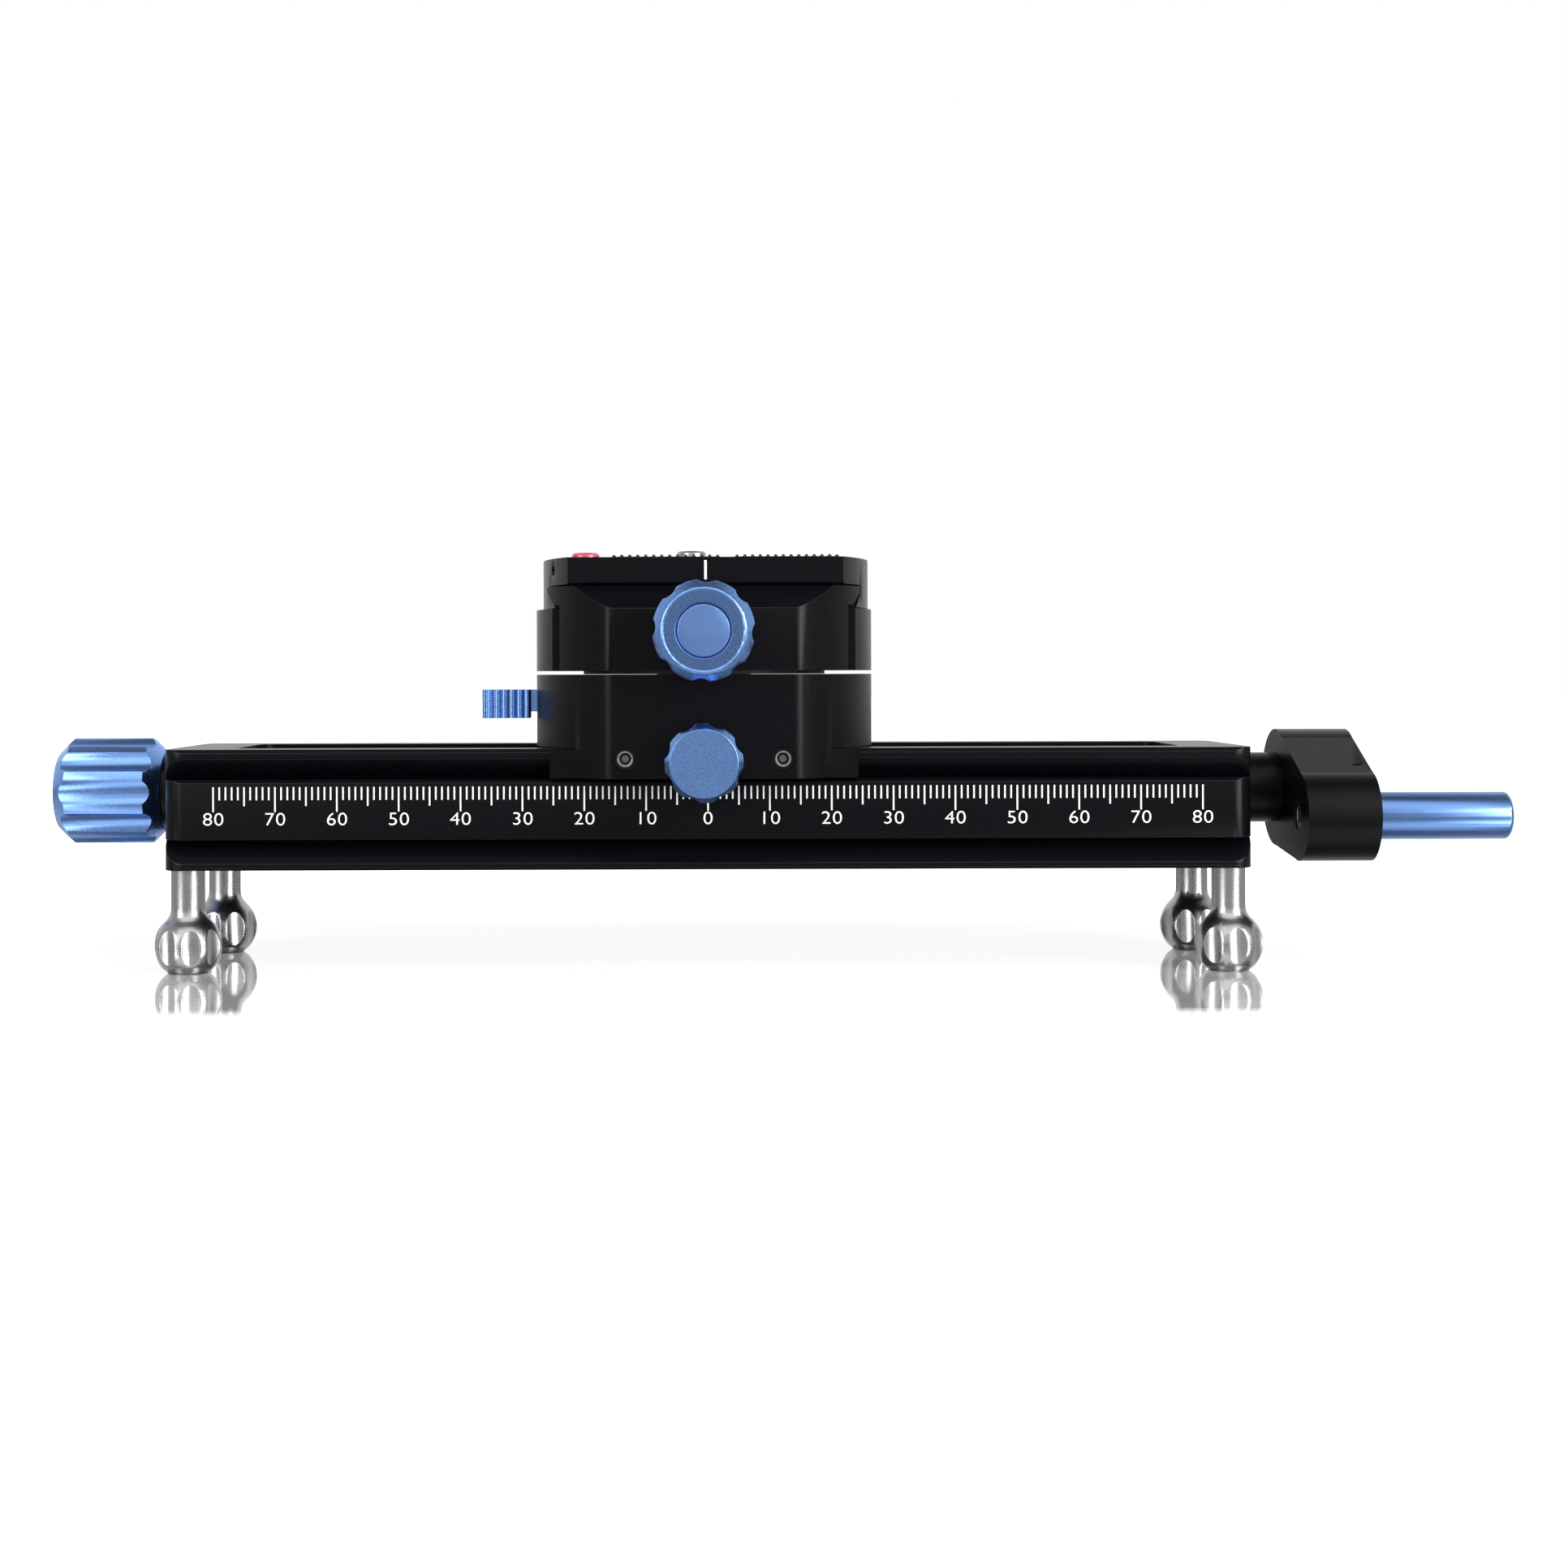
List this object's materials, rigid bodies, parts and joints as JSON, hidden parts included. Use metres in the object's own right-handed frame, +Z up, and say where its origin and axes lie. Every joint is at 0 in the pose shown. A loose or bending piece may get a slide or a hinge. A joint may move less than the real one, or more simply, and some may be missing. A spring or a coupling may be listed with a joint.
{
  "type": "macro focusing rail",
  "caption": "Macro focusing rail: a dovetail rail on screw-in feet, a carriage driven by a lead screw, crank and knob, and a panning quick-release clamp with a camera plate.",
  "frame": {"origin": "The mouth of the middle tripod thread, in the rail's underside, under the zero of the engraved scale.", "axes": "+X runs along the rail towards the crank, +Y points away from the side with the scale, +Z points up."},
  "size_m": [0.2398, 0.0598, 0.0693],
  "materials": {
    "black_anodised": "bead-blasted, black anodised, satin",
    "blue_anodised": "bead-blasted, blue anodised, fine sparkle",
    "red_anodised": "red anodised, satin",
    "stainless": "turned and polished stainless steel",
    "screw_steel": "ground or rolled steel",
    "bearing_steel": "polished bearing steel",
    "dark_steel": "blackened steel",
    "brass": "machined, plain",
    "black_nylon": "plain, low friction",
    "black_rubber": "matt, ridged"
  },
  "bodies": {
    "rail": {"rail_body": "black_anodised", "bearing_outer_rings": "bearing_steel", "foot_front_left": "stainless", "foot_front_right": "stainless", "foot_rear_left": "stainless", "foot_rear_right": "stainless"},
    "drive": {"lead_screw": "screw_steel", "bearing_inner_rings": "bearing_steel", "bearing_balls": "bearing_steel", "left_collar": "black_anodised", "drive_knob": "blue_anodised", "right_collar": "black_anodised", "crank_arm": "black_anodised", "crank_pin": "screw_steel", "drive_grub_screws": "dark_steel"},
    "crank_grip": {"crank_handle": "blue_anodised"},
    "carriage": {"carriage_body": "black_anodised", "gib_strip": "brass", "gib_screws": "dark_steel", "nut_block": "black_anodised", "drive_nut": "brass", "nut_block_screws": "dark_steel", "lock_pad": "brass", "lever_pin": "screw_steel", "brake_shoe": "brass"},
    "rail_lock": {"lock_knob": "blue_anodised", "lock_screw": "screw_steel"},
    "lever": {"pan_lever": "blue_anodised"},
    "clamp": {"clamp_body": "black_anodised", "pan_spindle": "screw_steel", "pan_retainer": "screw_steel", "retainer_screws": "dark_steel", "pan_washer": "black_nylon", "spindle_screw": "dark_steel", "jaw_guide_pins": "screw_steel"},
    "jaw": {"front_jaw": "black_anodised"},
    "clamp_handwheel": {"clamp_knob": "blue_anodised", "clamp_knob_cap": "blue_anodised", "clamp_screw": "screw_steel"},
    "plate": {"camera_plate": "black_anodised", "pad_left": "black_rubber", "pad_right": "black_rubber", "alignment_pin": "red_anodised", "plate_grub_screw": "dark_steel"},
    "camera_bolt": {"camera_screw": "stainless"}
  },
  "joints": [
    {"name": "drive_turn", "type": "hinge", "parent": "rail", "child": "drive", "pos_m": [0, 0, 0.0122], "axis": [1, 0, 0], "range_deg": [-17195, 17195]},
    {"name": "crank_grip_spin", "type": "hinge", "parent": "drive", "child": "crank_grip", "pos_m": [0.12, -0.0155, 0.00822], "axis": [1, 0, 0], "continuous": true},
    {"name": "carriage_slide", "type": "slide", "parent": "rail", "child": "carriage", "axis": [1, 0, 0], "range_m": [-0.0597, 0.0597]},
    {"name": "rail_lock_turn", "type": "hinge", "parent": "carriage", "child": "rail_lock", "pos_m": [-0.0006, -0.03, 0.0177], "axis": [0, -1, 0], "range_deg": [0, 180]},
    {"name": "pan_lever_swing", "type": "hinge", "parent": "carriage", "child": "lever", "pos_m": [-0.0216, 0, 0.027], "axis": [0, 0, -1], "range_deg": [0, 35]},
    {"name": "pan_turn", "type": "hinge", "parent": "carriage", "child": "clamp", "pos_m": [-0.0006, 0, 0.032], "axis": [0, 0, 1], "continuous": true},
    {"name": "clamp_knob_turn", "type": "hinge", "parent": "jaw", "child": "clamp_handwheel", "pos_m": [-0.0006, -0.03, 0.0384], "axis": [0, -1, 0], "range_deg": [0, 990.5]},
    {"name": "jaw_slide", "type": "slide", "parent": "clamp", "child": "jaw", "axis": [0, -1, 0], "range_m": [0, 0.00275]},
    {"name": "plate_slide", "type": "slide", "parent": "clamp", "child": "plate", "axis": [1, 0, 0], "range_m": [-0.015, 0.015]},
    {"name": "camera_screw_turn", "type": "hinge", "parent": "plate", "child": "camera_bolt", "pos_m": [-0.0027, 0, 0.046], "axis": [0, 0, 1], "continuous": true}
  ],
  "couplings": [
    {"joint": "drive_turn", "follows": "carriage_slide", "rad_per_m": -5026.5},
    {"joint": "clamp_knob_turn", "follows": "jaw_slide", "rad_per_m": 6283.2}
  ]
}
